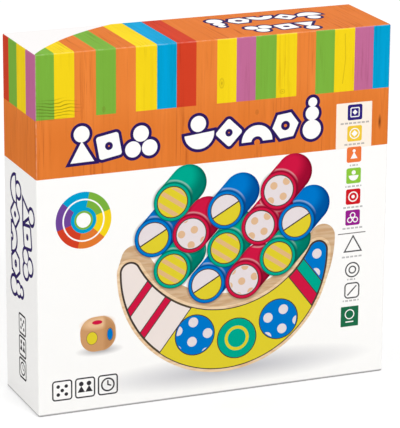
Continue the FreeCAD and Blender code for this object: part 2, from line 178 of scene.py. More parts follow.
class Panel(Finish):
    # a printed face: across, with its sign, and up name the axes of its own flat drawing

    def __init__(self, name, across, up, ground, pitch=None, middle=(0, 0)):
        super().__init__(name)
        self.scaled = self.node("ShaderNodeVectorMath", {"operation": "SCALE"},
                                {0: self.place, "Scale": 1 / mm}).outputs["Vector"]
        parts = self.node("ShaderNodeSeparateXYZ", None, {0: self.scaled}).outputs
        self.across = Amount(self, parts[across[1]])
        if across[0] == "-":
            self.across = -self.across
        if pitch:                      # the drawing repeats, once for each column of pieces
            self.across = self.across % pitch - pitch / 2
        self.up = Amount(self, parts[up])
        if middle[0]:
            self.across = self.across - middle[0]
        if middle[1]:
            self.up = self.up - middle[1]
        self.spot = self.node("ShaderNodeCombineXYZ", None, {0: self.across, 1: self.up}).outputs[0]
        self.colour = ground

    def apart(self, at):
        # how far it is from a place
        return self.vector("DISTANCE", self.spot, (*at, 0))

    def away(self, at):
        # the way from a place, unturned
        return self.vector("SUBTRACT", self.spot, (*at, 0))

    def along(self, at, turn):
        # the same along and across a turned axis, as two numbers
        way, cosine, sine = self.away(at), math.cos(turn), math.sin(turn)
        return (self.vector("DOT_PRODUCT", way, (cosine, sine, 0)),
                self.vector("DOT_PRODUCT", way, (-sine, cosine, 0)))

    def turned(self, at, turn):
        if not turn:
            return self.away(at)
        x, y = self.along(at, turn)
        return self.node("ShaderNodeCombineXYZ", None, {0: x, 1: y}).outputs[0]

    # distances to an outline, negative inside it

    def disc(self, at, radius):
        return self.apart(at) - radius

    def ring(self, at, radius, width):
        return abs(self.disc(at, radius)) - width / 2

    def oval(self, at, half, turn=0.0):
        spot = self.vector("MULTIPLY", self.turned(at, turn), (1 / half[0], 1 / half[1], 0))
        return (self.vector("LENGTH", spot) - 1) * min(half)

    def slab(self, at, half, corner, turn=0.0):
        corner = min(corner, *half)
        spot = self.vector("ABSOLUTE", self.turned(at, turn))
        spot = self.vector("SUBTRACT", spot, (half[0] - corner, half[1] - corner, 0))
        spot = self.vector("MAXIMUM", spot)
        return self.vector("LENGTH", spot) - corner

    def border(self, at, half, corner, width):
        # the outline of a slab, as a line of that width
        return abs(self.slab(at, half, corner)) - width / 2

    def stroke(self, start, way, radius):
        # a line with round ends
        at = (start[0] + way[0] / 2, start[1] + way[1] / 2)
        reach = math.hypot(*way) / 2
        return self.slab(at, (reach + radius, radius), radius, math.atan2(way[1], way[0]))

    def regular(self, at, radius, sides, turn=0.0):
        # radius is the inner one, to the middle of a side
        x, y = self.along(at, turn)
        angle = self.maths("ARCTAN2", x, -y)
        share = 2 * math.pi / sides
        folded = self.maths("COSINE", (angle + share / 2) % share - share / 2)
        return folded * self.apart(at) - radius

    def bowl(self, at, radius, turn=0.0):
        # half a disc with its flat side up
        return self.most(self.disc(at, radius), self.along(at, turn)[1])

    def drawn(self, at, parts):
        # a small drawing's shapes joined: name of the shape, place from the drawing's middle, sizes
        return self.least(*[getattr(self, kind)((at[0] + x, at[1] + y), *sizes)
                            for kind, (x, y), *sizes in parts])

    def row(self, amount, first, pitch):
        # the same place again and again along one axis: first is the middle of the first one
        return (amount - (first - pitch / 2)) % pitch - pitch / 2

    def above(self, amount, level, soft=0.1):
        # 1 above a level, 0 below it
        return self.between(amount, level - soft, level + soft, False)

    # laying ink

    def inside(self, distance, grow=0.0, soft=0.16):
        return self.maths("MULTIPLY_ADD", distance, -1 / soft, 0.5 + grow / soft, clamp=True)

    def lay(self, distance, colour, grow=0.0, soft=0.16, strength=1.0):
        factor = self.inside(distance, grow, soft)
        if strength != 1.0:
            factor = factor * strength
        self.colour = self.mix(factor, self.colour, colour)

    def outlined(self, distance, colour, edge, width):
        self.lay(distance, edge, width)
        self.lay(distance, colour)

    def sign(self, at, parts, colour, line=0.0):
        # a small drawing in one ink, or its outline where line, half the outline's width, is given
        shape = self.drawn(at, parts)
        self.lay(abs(shape) - line if line else shape, colour)


# colours of the print, the paint, the wood and the board

ink = {
    "white": shade(252, 251, 249),
    "orange": shade(223, 121, 49),
    "apricot": shade(231, 130, 57),
    "yellow": shade(242, 210, 28),
    "green": shade(122, 175, 62),
    "blue": shade(3, 158, 205),
    "red": shade(208, 64, 38),
    "purple": shade(191, 106, 148),
    "violet": shade(110, 70, 150),
    "navy": shade(44, 28, 92),
    "teal": shade(0, 166, 140),
    "crimson": shade(205, 24, 66),
    "azure": shade(0, 118, 200),
    "mustard": shade(222, 204, 48),
    "cream": shade(236, 224, 218),
    "shell": shade(228, 218, 220),
    "tan": shade(222, 178, 132),
    "wood": shade(226, 192, 150),
    "board": shade(222, 218, 210),
    "fleck": shade(205, 200, 190),
    "line": shade(66, 56, 54),
    "grey": shade(120, 120, 122),
}

# camera

camera = {
    "place": (-0.6763, -1.6563, 0.6583),
    "forward": (0.3628, 0.8858, -0.2895),
    "right": (0.9261, -0.3772, 0.0066),
    "lens": 233.9, "sensor": 36, "clip": (0.1, 60),
}


def makeCamera():
    data = bpy.data.cameras.new("camera")
    data.lens = camera["lens"]
    data.sensor_width = camera["sensor"]
    data.clip_start, data.clip_end = camera["clip"]
    seer = bpy.data.objects.new("camera", data)
    scene.collection.objects.link(seer)
    back = -Vector(camera["forward"]).normalized()
    right = Vector(camera["right"])
    right = (right - back * right.dot(back)).normalized()
    up = back.cross(right)
    turn = Matrix((right, up, back)).transposed()
    seer.matrix_world = Matrix.Translation(camera["place"]) @ turn.to_4x4()
    scene.camera = seer


makeCamera()
print("camera made")

# floor, sky and lamps

studio = {
    "floorSize": 30.0,
    "floorTone": (0.62, 0.62, 0.62, 1),
    "floorGlow": 0.42,
    "skyLight": 0.55,
    "aim": (0, 0, 0.12),
    "lamps": {                # place, size, power
        "key": ((1.3, -3.6, 2.4), 2.2, 96.0),
        "over": ((-0.4, 0.2, 3.4), 2.6, 25.0),
        "side": ((-3.2, -1.0, 1.6), 2.0, 44.0),
        "back": ((1.7, 3.3, 2.2), 2.4, 38.0),
    },
}


def seenBy(finish, *rays):
    # 1 for rays that show the studio itself, 0 for the light that falls on the object
    path = finish.node("ShaderNodeLightPath").outputs
    return finish.most(*[Amount(finish, path[f"Is {ray} Ray"]) for ray in rays])


def makeFloor():
    size = studio["floorSize"] / 2
    mesh = bpy.data.meshes.new("floor")
    mesh.from_pydata([(-size, -size, 0), (size, -size, 0), (size, size, 0), (-size, size, 0)],
                     [], [(0, 1, 2, 3)])
    floor = bpy.data.objects.new("floor", mesh)
    scene.collection.objects.link(floor)
    paper = Finish("floorPaper")
    seen = seenBy(paper, "Camera", "Glossy", "Transmission")
    matt = paper.node("ShaderNodeBsdfDiffuse", None, {"Color": studio["floorTone"]}).outputs[0]
    glow = paper.node("ShaderNodeEmission", None, {"Strength": seen * studio["floorGlow"]}).outputs[0]
    both = paper.node("ShaderNodeAddShader", None, {0: matt, 1: glow}).outputs[0]
    paper.node("ShaderNodeOutputMaterial", None, {"Surface": both})
    mesh.materials.append(paper.material)


def makeSky():
    # full strength where it is seen, and soft light on the object
    sky = Finish("sky", "worlds")
    strength = seenBy(sky, "Camera", "Transmission") * (1 - studio["skyLight"]) + studio["skyLight"]
    air = sky.node("ShaderNodeBackground", None, {"Strength": strength}).outputs[0]
    sky.node("ShaderNodeOutputWorld", None, {"Surface": air})
    scene.world = sky.material


def makeLamps():
    for name, (place, size, power) in studio["lamps"].items():
        data = bpy.data.lights.new(name, "AREA")
        data.shape = "DISK"
        data.size = size
        data.energy = power
        light = bpy.data.objects.new(name, data)
        light.location = place
        aim = Vector(studio["aim"]) - Vector(place)
        light.rotation_euler = aim.to_track_quat("-Z", "Y").to_euler()
        scene.collection.objects.link(light)


makeFloor()
makeSky()
makeLamps()
print("studio made")

# the lid: board wrapped in printed paper, its paper turned in at the rim

lid = {
    "board": 2.0,             # wall thickness
    "fold": 1.2,              # radius of the folded edges
    "foldSteps": 4,
    "rim": 0.7,               # radius of the rim's edges
    "rimSteps": 2,
    "tightest": 0.15,         # least radius of a corner inside
    "turnIn": 15.0,           # how far the paper goes inside the rim
    "paper": 0.25,
    "paperEnd": 0.1,          # length of the slope from the turned-in paper to the board
}


def roundedRing(halfWide, halfTall, level, radius, steps):
    # one ring of points round the box, seen along +Y, from the lower left corner
    points = []
    for turn, (sideX, sideZ) in enumerate(((-1, -1), (1, -1), (1, 1), (-1, 1))):
        for step in range(steps + 1):
            angle = math.pi + (turn + step / steps) * math.pi / 2
            points.append((sideX * (halfWide - radius) + radius * math.cos(angle), level,
                           sideZ * (halfTall - radius) + radius * math.sin(angle)))
    return points


def shell(name, rings, middle):
    # a closed skin over rings that are joined one to the next, with both ends capped
    mesh = bpy.data.meshes.new(name)
    count = len(rings[0])
    points = [(x + middle[0], y, z + middle[1]) for ring in rings for x, y, z in ring]
    faces = [tuple(range(count)), tuple(reversed(range(len(points) - count, len(points))))]
    for level in range(len(rings) - 1):
        start = level * count
        for step in range(count):
            after = (step + 1) % count
            faces.append((start + step, start + count + step, start + count + after, start + after))
    mesh.from_pydata([Vector(point) * mm for point in points], [], faces)
    made = bmesh.new()
    made.from_mesh(mesh)
    bmesh.ops.remove_doubles(made, verts=made.verts, dist=1e-7)
    bmesh.ops.recalc_face_normals(made, faces=made.faces)
    made.to_mesh(mesh)
    made.free()
    piece = bpy.data.objects.new(name, mesh)
    scene.collection.objects.link(piece)
    return piece


def quarter(radius, steps):
    # how far in and how far along, round a quarter of a circle
    return [(radius * (1 - math.sin(angle)), radius * (1 - math.cos(angle)))
            for angle in (math.pi / 2 * step / steps for step in range(steps + 1))]


def makeLid():
    low, high = corners("lid")
    wide, tall = (high.x - low.x) / 2, (high.z - low.z) / 2
    rim = quarter(lid["rim"], lid["rimSteps"])

    def ring(inset, level):
        radius = max(lid["fold"] - inset, lid["tightest"])
        return roundedRing(wide - inset, tall - inset, level, radius, lid["foldSteps"])

    rings = [ring(inset, low.y + along) for inset, along in quarter(lid["fold"], lid["foldSteps"])]
    rings += [ring(inset, high.y - along) for inset, along in reversed(rim)]
    inner, edge = lid["board"], high.y - lid["turnIn"]
    rings += [ring(inner - inset, high.y - along) for inset, along in rim]
    lined = inner + lid["paper"]
    rings += [ring(inner, edge), ring(lined, edge - lid["paperEnd"]), ring(lined, low.y + inner)]
    return shell("lid_box", rings, ((high.x + low.x) / 2, (high.z + low.z) / 2))


def settle(piece, node, body="base"):
    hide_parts(node)
    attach(piece, body)


lidPiece = makeLid()
settle(lidPiece, "lid", "lid")
print("lid shaped:", len(lidPiece.data.polygons), "faces")

# the printed faces

stripes = {
    # half the face's width, the edges between stripes, their inks
    "front": (125.0, (-113.0, -98.7, -84.9, -70.7, -56.7, -42.6, -28.5, -14.8, -0.8,
                      13.4, 27.3, 41.3, 55.8, 69.6, 83.6, 97.7, 111.5),
              ("green", "yellow", "orange", "green", "orange", "yellow", "blue", "red", "orange",
               "yellow", "purple", "green", "yellow", "orange", "green", "yellow", "purple", "blue")),
    "side": (33.0, (-20.5, -3.9, 13.9), ("red", "green", "yellow", "purple")),
    "foot": 201.8,
    "bandFoot": 162.3,
    "paling": (184.0, 216.0),    # between these heights the orange turns paler
    "tall": 245.0,
}

planks = {
    # the printed grain: size of its waves across it, and how far they reach along it
    "broad": (8.0, 120.0), "patch": (20.0, 70.0), "fine": (1.9, 48.0),
    "pale": (1.16, 1.26, 1.5, 1), "dark": (0.66, 0.54, 0.58, 1),
    # its flaws on the front: wavy lines round a knot, a dark slot, small knots, a crack
    "ripples": ((-112.0, 208.3), (14.5, 6.2)), "rippleInk": shade(70, 62, 10),
    "slot": ((118.3, 178.6), (0.8, 3.4)), "slotInk": shade(70, 32, 20),
    "knots": (((3.3, 215.2), (1.5, 3.0)), ((46.6, 205.8), (1.6, 1.4)), ((28.6, 193.4), (1.0, 1.3)),
              ((-78.7, 205.2), (0.9, 1.6))),
    "knotInk": shade(112, 62, 20),
    "crack": (("stroke", (91.4, 241.0), (0.6, -17.0), 0.12),
              ("stroke", (92.0, 224.0), (-1.8, -16.5), 0.12)),
    "crackInk": shade(110, 84, 20),
}

laminate = {
    "fibre": 0.35, "cloud": 14.0,     # sizes of the paper's fibres and of the clouds in its gloss
    "roughness": 0.46, "uneven": 0.12,
    "bump": 0.12, "depth": 0.02,
    "specular": 0.004,                # low, so that the print keeps its colours under the lamps
    # a paler colour for the folds, partly wear and partly painted highlight; a grey line of painted shade
    # for the foot
    "creaseWearAndHighlight": shade(255, 250, 240), "footShade": shade(132, 130, 132),
}


def stripeColour(panel, face, last=math.inf):
    # the row of stripes and how far it covers the orange, which shows between them
    half, edges, inks = stripes[face]
    stops = []
    for edge, name in zip((-half, *edges), inks):
        cover = 0.0 if name == "orange" or edge > last else 1.0
        stops.append(((edge + half) / (2 * half), (*ink[name][:3], cover)))
    share = (panel.across + half) / (2 * half)
    ramp = panel.node("ShaderNodeValToRGB", {"stops": ("CONSTANT", stops)}, {0: share})
    return ramp.outputs["Color"], Amount(panel, ramp.outputs["Alpha"])


def woodPrint(panel, colour, along, amount):
    # the printed grain of planks: broad streaks, and fine ones that are stronger in patches
    broad = panel.streaks(*planks["broad"], along, 2.0, 0.5, 0.6)
    pale = panel.between(broad, 0.46, 0.74) * (0.4 * amount)
    colour = panel.mix(pale, colour, planks["pale"], "MULTIPLY")
    patch = panel.streaks(*planks["patch"], along, 1.0)
    patchy = (panel.between(patch, 0.44, 0.66) * 1.5 + 0.45) * (0.5 * amount)
    fine = panel.streaks(*planks["fine"], along, 3.0, 0.6, 0.7)
    return panel.mix(panel.between(fine, 0.5, 0.74) * patchy, colour, planks["dark"], "MULTIPLY")


def layBand(panel, face, grain=0.55, drop=0.0):
    # the orange band of printed planks, with the stripes over its upper part
    lined, cover = stripeColour(panel, face)
    inStripes = panel.above(panel.up + drop, stripes["foot"]) * cover
    ground = panel.mix(panel.between(panel.up, *stripes["paling"]), ink["orange"], ink["apricot"])
    band = panel.mix(inStripes, woodPrint(panel, ground, "Z", 0.85), woodPrint(panel, lined, "Z", grain))
    panel.colour = panel.mix(panel.above(panel.up, stripes["bandFoot"]), panel.colour, band)


def paintFlaws(panel):
    waves = panel.maths("SINE", (panel.up + panel.noise(20.0) * 10.0) * 2.6)
    panel.lay(panel.oval(*planks["ripples"]), planks["rippleInk"], 0, 4.0,
              panel.between(waves, 0.3, 0.95) * 0.55)
    panel.lay(panel.oval(*planks["slot"]), planks["slotInk"], 0, 1.2, 0.8)
    for at, half in planks["knots"]:
        # a small dark eye in a thin ring
        ring = panel.oval(at, half)
        panel.lay(panel.least(ring + half[0] * 0.6, abs(ring) - 0.1), planks["knotInk"], 0, 0.9, 0.42)
    panel.lay(panel.drawn((0, 0), planks["crack"]), planks["crackInk"], 0, 0.9, 0.5)


def foldWearAndHighlight(panel, distance):
    # paper is paler where it is folded over an edge: partly wear, and partly a painted highlight along the
    # fold
    rough = panel.noise(3.0, 3.0, 0.6)
    factor = panel.between(distance, 1.1, 0.1) * panel.between(rough, 0.2, 0.8) * 0.24
    panel.colour = panel.mix(factor, panel.colour, laminate["creaseWearAndHighlight"])


def closePrint(panel):
    fibre = panel.noise(laminate["fibre"], 2.0, 0.6)
    cloud = panel.noise(laminate["cloud"])
    roughness = laminate["roughness"] + (cloud - 0.5) * laminate["uneven"]
    return panel.close(panel.colour, roughness, fibre, laminate["bump"], laminate["depth"],
                       laminate["specular"])


def closeWall(panel, face):
    # paler folds all round, worn and with a painted highlight, and a painted shade line along the edge that
    # the box stands on
    half = stripes[face][0]
    foldWearAndHighlight(panel, panel.least(half - abs(panel.across), panel.up, stripes["tall"] - panel.up))
    # painted shade: a grey line along the foot of the wall
    panel.lay(panel.up - 1.4, laminate["footShade"], 0, 0.8, 0.8)
    return closePrint(panel)


# title: two rows of plain toy-block shapes

title = {
    "inkWidth": 2.1, "sideInkWidth": 2.3, "corner": 1.8,
    # shape or number of sides, place, size, turn: places in millimetres from the row's lower left corner,
    # and a negative radius cuts a hole
    "first": [
        (3, (8, 8.4), 4.7, 0), ("disc", (8, 22.5), 5.4, 0),
        ("square", (26.5, 12.5), 7.8, 0.16), ("disc", (26.5, 12.5), -2.7, 0),
        ("disc", (43.0, 8.2), 5.4, 0), ("disc", (54.6, 8.2), 5.4, 0), ("disc", (48.8, 18.2), 5.4, 0),
    ],
    "second": [
        ("bowl", (10.5, 15.0), 10.5, 0.08), ("disc", (9.9, 21.6), 5.4, 0),
        ("square", (31.5, 13.2), 7.0, 0.785), ("disc", (31.5, 13.2), -2.6, 0),
        ("bowl", (51.5, 5.0), 11.0, math.pi), ("disc", (51.5, 4.2), -4.2, 0),
        (6, (72.0, 13.4), 8.2, 0.1), ("disc", (72.0, 13.4), -3.2, 0),
        ("disc", (91.0, 8.6), 6.6, 0), ("disc", (91.4, 19.6), 4.8, 0), ("disc", (91.8, 27.2), 3.2, 0),
    ],
    # where each row goes: its lower left corner, turn, size
    "onFront": (("first", (-101.5, 167.5), 0.02, 1.0), ("second", (-22.5, 167.5), 0.02, 1.0)),
    "onSide": (("second", (-22.0, 154.0), -math.pi / 2, 0.84), ("first", (3.0, 141.5), -math.pi / 2, 0.86)),
    "onTop": (("first", (79.0, -4.5), math.pi, 0.84), ("second", (94.0, 22.5), math.pi, 0.84)),
}


def titleRow(panel, shapes, at, turn, size):
    cosine, sine = math.cos(turn) * size, math.sin(turn) * size
    found, holes = [], []
    for kind, (x, y), reach, tilt in shapes:
        spot = (at[0] + x * cosine - y * sine, at[1] + x * sine + y * cosine)
        reach *= size
        if kind == "disc":
            (found if reach > 0 else holes).append(panel.disc(spot, abs(reach)))
        elif kind == "bowl":
            found.append(panel.bowl(spot, reach, turn + tilt))
        elif kind == "square":
            found.append(panel.slab(spot, (reach, reach), title["corner"] * size, turn + tilt))
        else:
            found.append(panel.regular(spot, reach, kind, turn + tilt))
    joined = panel.least(*found)
    return panel.most(joined, -panel.least(*holes)) if holes else joined


def layTitle(panel, places, width=title["inkWidth"]):
    for row, at, turn, size in places:
        panel.outlined(titleRow(panel, title[row], at, turn, size), ink["white"], ink["navy"], width)


# the picture: a plain rocker with twelve round pieces in its dish

picture = {
    "foot": (7.0, 15.3), "width": 154.0, "tall": 87.0, "dish": 40.6, "horn": 9.4,
    "depth": (3.0, 9.0), "margin": 2.0,
    "wood": (shade(238, 210, 174), shade(220, 182, 140)), "woodEdge": shade(150, 104, 66),
    "shadow": ((11.0, 16.8), (60, 7)), "shadowInk": shade(176, 176, 184),
    "pieceReach": (11.0, 11.5), "pieceRadius": 13.2, "faceRadius": 10.5, "light": (-4.6, 5.6),
    "pieces": {
        "teal": ((7.0, 102.0), (-31.0, 91.6), (45.0, 91.6), (-31.0, 138.0)),
        "azure": ((-6.4, 78.4), (-44.4, 114.8), (58.4, 114.8), (7.0, 128.6)),
        "crimson": ((20.4, 78.4), (-17.6, 114.8), (31.6, 114.8), (45.0, 138.0)),
    },
    "deep": {"teal": shade(0, 96, 82), "azure": shade(0, 62, 134), "crimson": shade(128, 6, 38)},
    "gap": shade(24, 18, 30),
}

# fields of colour on the rocker, in the picture and on the wooden one: for one that is this wide
fields = {
    "wide": 157.0, "lean": math.radians(38), "line": 0.7,
    # from the middle outwards: how far out each one begins, its ink
    "left": ((50, "cream"), (66, "crimson"), (71, "cream"), (84, "crimson"), (89, "cream")),
    "right": ((76, "crimson"), (84, "teal"), (92, "azure")),
    "discs": ((-22, 29, "azure"), (9, 23, "teal"), (40, 33, "azure")), "disc": 14.0,
    "ring": (6.2, 1.1),          # inset and half width of the ring on the teal disc
    "dotPitch": 12.4, "dot": 3.5,
}


def crescent(panel, form, shift=(0, 0), inset=0.0):
    # the rocker's outline, drawn inset all round: a hull, a dish cut out of it and two round horns
    x, foot = form["foot"][0] + shift[0], form["foot"][1] + shift[1]
    horn, tall = form["horn"], form["tall"]
    reach, level = form["width"] / 2 - horn, tall - horn
    hull = (reach**2 + level**2 - horn**2) / (2 * (level - horn))
    floor = tall - form["dish"]
    dish = (reach**2 + (level - floor)**2 - horn**2) / (2 * (horn + level - floor))
    tip = Vector((reach, level))
    inner = tip + (Vector((0, floor + dish)) - tip).normalized() * (horn - inset)
    outer = tip - (Vector((0, hull)) - tip).normalized() * (horn - inset)
    rise = Vector((inner.y - outer.y, outer.x - inner.x)).normalized()
    beyond = (abs(panel.across - x) - inner.x) * rise.x + (panel.up - foot - inner.y) * rise.y
    body = panel.most(panel.disc((x, foot + hull), hull - inset),
                      -panel.disc((x, foot + floor + dish), dish + inset), beyond)
    return panel.least(body, panel.disc((x - reach, foot + level), horn - inset),
                       panel.disc((x + reach, foot + level), horn - inset))


def dots(panel, pitch, radius, turn=0.4):
    # a plain pattern of dots in staggered rows
    x, y = (part / pitch for part in panel.along((0, 0), turn))
    x = (x + panel.maths("FLOOR", y) * 0.5) % 1.0 - 0.5
    y = y % 1.0 - 0.5
    flat = panel.node("ShaderNodeCombineXYZ", None, {0: x, 1: y}).outputs[0]
    return panel.vector("LENGTH", flat) * pitch - radius


def paintRocker(panel, form, margin):
    # plain fields of colour on the rocker's face, a margin inside its outline
    size = form["width"] / fields["wide"]
    x, foot = form["foot"]
    lean, line = fields["lean"], fields["line"] * size
    outline = crescent(panel, form, inset=margin)
    clip = outline + 2 * line

    def field(distance, name):
        clipped = panel.most(distance, clip)
        panel.lay(clipped, ink["line"], line)
        panel.lay(clipped, ink[name])
        return clipped

    def slanted(side, reach):
        # what lies beyond a slanted line, towards one end
        along = (panel.across - x) * (side * math.cos(lean)) + (panel.up - foot) * math.sin(lean)
        return reach * size - along

    panel.lay(outline, ink["line"])
    panel.lay(outline, ink["mustard"], -line)
    spots = dots(panel, fields["dotPitch"] * size, fields["dot"] * size)
    for reach, name in fields["left"]:
        field(slanted(-1, reach), name)
    for reach, name in fields["right"]:
        end = field(slanted(1, reach), name)
    panel.lay(panel.most(end + 0.6, spots), ink["shell"])
    # three discs in a row above the keel
    inset, width = (part * size for part in fields["ring"])
    for across, up, name in fields["discs"]:
        disc = field(panel.disc((x + across * size, foot + up * size), fields["disc"] * size), name)
        if name == "azure":
            panel.lay(panel.most(disc + 0.6, spots), ink["shell"])
        else:
            panel.lay(abs(disc + inset) - width, ink["mustard"])


def endPattern(panel, name, pitch):
    # stripes on the teal ends, dots on the crimson ones
    if name == "teal":
        return abs(panel.row(panel.along((0, 0), -0.6)[1], 0.0, pitch * 0.8)) - pitch * 0.16
    return dots(panel, pitch, pitch * 0.28, 0.25)


def paintPiece(panel, name, apart, radius, pattern):
    # the printed end of a stacking piece: apart is the distance from its middle
    face = apart - radius
    panel.lay(face, ink["line"], 0.5)
    panel.lay(face, ink["mustard"] if name == "teal" else ink["shell"], -0.2)
    if name == "azure":
        panel.lay(panel.most(face + 0.1, pattern), ink["mustard"])
        panel.lay(panel.most(face + 0.1, abs(pattern) - 0.45), ink["line"])
    else:
        panel.lay(panel.most(face + 0.7, pattern), ink["tan"], strength=0.9)


def paintPicture(panel):
    # soft shadow on the ground, then the rocker's edge behind its face
    panel.lay(panel.oval(*picture["shadow"]), picture["shadowInk"], 0, 11.0, 0.8)
    reach = picture["depth"]
    sides = [crescent(panel, picture, (reach[0] * part, reach[1] * part)) for part in (1.0, 0.66, 0.33)]
    outline = crescent(panel, picture)
    grain = panel.noise(2.2, 2.0, 0.5, (6.0, 1, 1), 0.3)
    wood = panel.mix(panel.between(grain, 0.35, 0.7), *picture["wood"])
    panel.lay(panel.least(*sides), panel.mix(0.35, wood, picture["woodEdge"]))
    panel.lay(outline, wood)
    paintRocker(panel, picture, picture["margin"])

    radius, away = picture["pieceRadius"], picture["pieceReach"]
    fronts = {name: panel.least(*[panel.apart(place) for place in places])
              for name, places in picture["pieces"].items()}

    def rolls(name, shift=(0, 0)):
        return panel.least(*[panel.stroke((x + shift[0], z + shift[1]), away, radius)
                             for x, z in picture["pieces"][name]])

    for name, dark in picture["deep"].items():
        # the round sides, darker away from the light, with a thin light line behind the front edge
        roll = rolls(name)
        lit = panel.between(rolls(name, picture["light"]), 2.5, -7.0)
        edge = panel.between(roll, -0.1, -2.6)
        panel.lay(roll, panel.mix(lit * 0.72 + edge * 0.28, dark, ink[name]))
        gleam = abs(fronts[name] - (radius + 1.4)) - 0.2
        panel.lay(panel.most(gleam, roll + 1.6), ink["white"], 0.2, 1.0, lit * 0.34)
    panel.lay(panel.least(*fronts.values()) - radius, picture["gap"], 1.0, 1.6, 0.42)
    for name, dark in picture["deep"].items():
        places, apart = picture["pieces"][name], fronts[name]
        panel.lay(apart - radius, dark)
        panel.lay(apart - radius, ink[name], -0.5, 0.6)
        if name == "azure":
            pattern = panel.least(*[panel.bowl(place, radius, 0.5) for place in places])
        else:
            pattern = endPattern(panel, name, 9.4)
        paintPiece(panel, name, apart, picture["faceRadius"], pattern)


# the small things of the front

strip = {
    "panel": ((99.3, 177.9), (13.1, 15.6), 0.6), "panelInk": shade(252, 240, 226),
    "x": 99.9, "first": 186.8, "pitch": -14.7, "half": (5.4, 5.4), "corner": 1.4,
    # each square's ink, and the parts of its white sign with the line where only its outline is drawn
    "squares": (
        (shade(48, 36, 120), (("border", (0, 0), (3.05, 3.05), 0.6, 0.7),
                              ("slab", (0, 0), (1.3, 1.3), 0.5, 0.78)), 0),
        (shade(240, 200, 60), (("ring", (0, 0), 3.4, 0.7), ("regular", (0, 0), 1.6, 4, 0.785)), 0),
        (shade(238, 120, 62), (("disc", (0, 2.6), 1.1), ("regular", (0, -1.2), 1.5, 3)), 0),
        (shade(140, 198, 62), (("bowl", (0, 0.2), 3.6), ("disc", (0, 2.2), 1.5)), 0),
        (shade(206, 26, 36), (("ring", (0, 0), 3.2, 0.8), ("disc", (0, 0), 1.2)), 0),
        (shade(150, 34, 140), [("disc", place, 1.7) for place in ((0, 1.7), (-2, -1.6), (2, -1.6))], 0.35),
    ),
    # broken grey rules under the signs: height, half length
    "rules": ((179.4, 10.6), (164.7, 7.4), (150.0, 3.0), (135.3, 6.0), (120.6, 7.2), (105.9, 7.4),
              (85.6, 7.4), (69.4, 3.0), (54.2, 6.0)),
    "dash": (3.1, 1.25, 1.1),    # pitch, and from where to where its end fades
    "divider": ((99.5, 102.3), (10.3, 0.35), 0.3),
    # signs drawn in grey lines
    "outlines": (
        ((100.6, 93.0), (("regular", (0, 0), 3.6, 3),), 0.5),
        ((100.6, 76.2), (("ring", (0, 0), 5.0, 1.0), ("ring", (0, 0), 2.4, 1.0)), 0),
        ((100.6, 61.4), (("border", (0, 0), (5.2, 5.2), 2.5, 1.0), ("stroke", (-3, -3), (6, 6), 0.5)), 0),
    ),
    "outlineInk": shade(84, 84, 86),
    "last": ((99.3, 42.9), (6.6, 7.2), 0.4), "lastInk": shade(32, 106, 72),
    "lastSign": (("ring", (0, 1.5), 3.2, 0.7), ("slab", (0, -3.9), (3.0, 0.4), 0.3)),
}

emblem = {
    "middle": (-92.9, 132.3), "radius": 19.2, "turn": 0.3,
    "inks": ("red", "orange", "yellow", "green", "blue", "violet"),
    "ring": 14.0, "inner": 8.832, "hub": 4.992,
}

printedDie = {
    # places from its middle, half sizes, turn
    "middle": (-83.3, 53.2),
    "shadow": ((1, -11.5), (11, 2.6)), "shadowInk": shade(120, 112, 116),
    "half": (12.4, 12.0), "corner": 10.2, "turn": 0.05, "wood": shade(203, 152, 104),
    "lit": ((-0.5, 7.6), (9.5, 3.8), 0.06), "litInk": shade(232, 190, 146),
    "dark": 4.5, "darkInk": shade(186, 134, 88),
    "topSpot": ((-0.5, 8.0), (3.6, 1.5)),
    "spots": (((-4.2, -2.6), (3.6, 4.2), "mustard"), ((8.4, -1.2), (1.9, 4.0), "azure")),
    "spotLine": shade(130, 96, 60),
}

badges = {
    "half": (6.6, 6.6), "corner": 1.8, "ink": shade(52, 50, 54), "width": 1.0, "sideWidth": 1.4,
    "onFront": ((-108.5, 16.9), (-92.5, 16.9), (-76.5, 16.9)),
    "onSide": ((1.3, 54.5), (1.3, 39.0), (1.3, 23.5)),
    # a die face, two pawns, a clock
    "signs": (
        [("disc", place, 1.25) for place in ((-2.8, -2.8), (2.8, -2.8), (-2.8, 2.8), (2.8, 2.8), (0, 0))],
        [("disc", (-2.7, 2.8), 1.6), ("regular", (-2.7, -1.6), 1.5, 3),
         ("disc", (2.7, 2.8), 1.6), ("regular", (2.7, -1.6), 1.5, 3)],
        [("ring", (0, 0), 4.3, 1.1), ("stroke", (0, 0), (0, 2.6), 0.5),
         ("stroke", (0, 0), (1.9, -0.7), 0.5)],
    ),
}


def paintStrip(panel):
    panel.lay(panel.slab(*strip["panel"]), strip["panelInk"])
    x = strip["x"]
    for row, (tone, parts, line) in enumerate(strip["squares"]):
        at = (x, strip["first"] + row * strip["pitch"])
        panel.lay(panel.slab(at, strip["half"], strip["corner"]), tone)
        panel.sign(at, parts, ink["white"], line)
    pitch, end, full = strip["dash"]
    dashes = panel.between(abs(panel.row(panel.across, x, pitch)), end, full) * 0.6
    for z, wide in strip["rules"]:
        panel.lay(panel.slab((x, z), (wide, 0.6), 0.3), ink["grey"], strength=dashes)
    panel.lay(panel.slab(*strip["divider"]), ink["line"], strength=0.85)
    for at, parts, line in strip["outlines"]:
        panel.sign(at, parts, strip["outlineInk"], line)
    panel.lay(panel.slab(*strip["last"]), strip["lastInk"])
    panel.sign(strip["last"][0], strip["lastSign"], ink["white"])


def paintEmblem(panel):
    # a wheel of six colours with a plain hub
    at, inks = emblem["middle"], emblem["inks"]
    x, y = panel.along(at, emblem["turn"])
    share = panel.maths("ARCTAN2", y, x) / (2 * math.pi) + 0.5
    stops = [(step / len(inks), ink[name]) for step, name in enumerate(inks)]
    wheel = panel.node("ShaderNodeValToRGB", {"stops": ("CONSTANT", stops)}, {0: share}).outputs[0]
    panel.lay(panel.disc(at, emblem["radius"]), wheel)
    panel.lay(panel.ring(at, emblem["ring"], 1.0), ink["white"])
    panel.lay(panel.disc(at, emblem["inner"]), ink["blue"])
    panel.outlined(panel.disc(at, emblem["hub"]), ink["white"], ink["green"], 1.4)


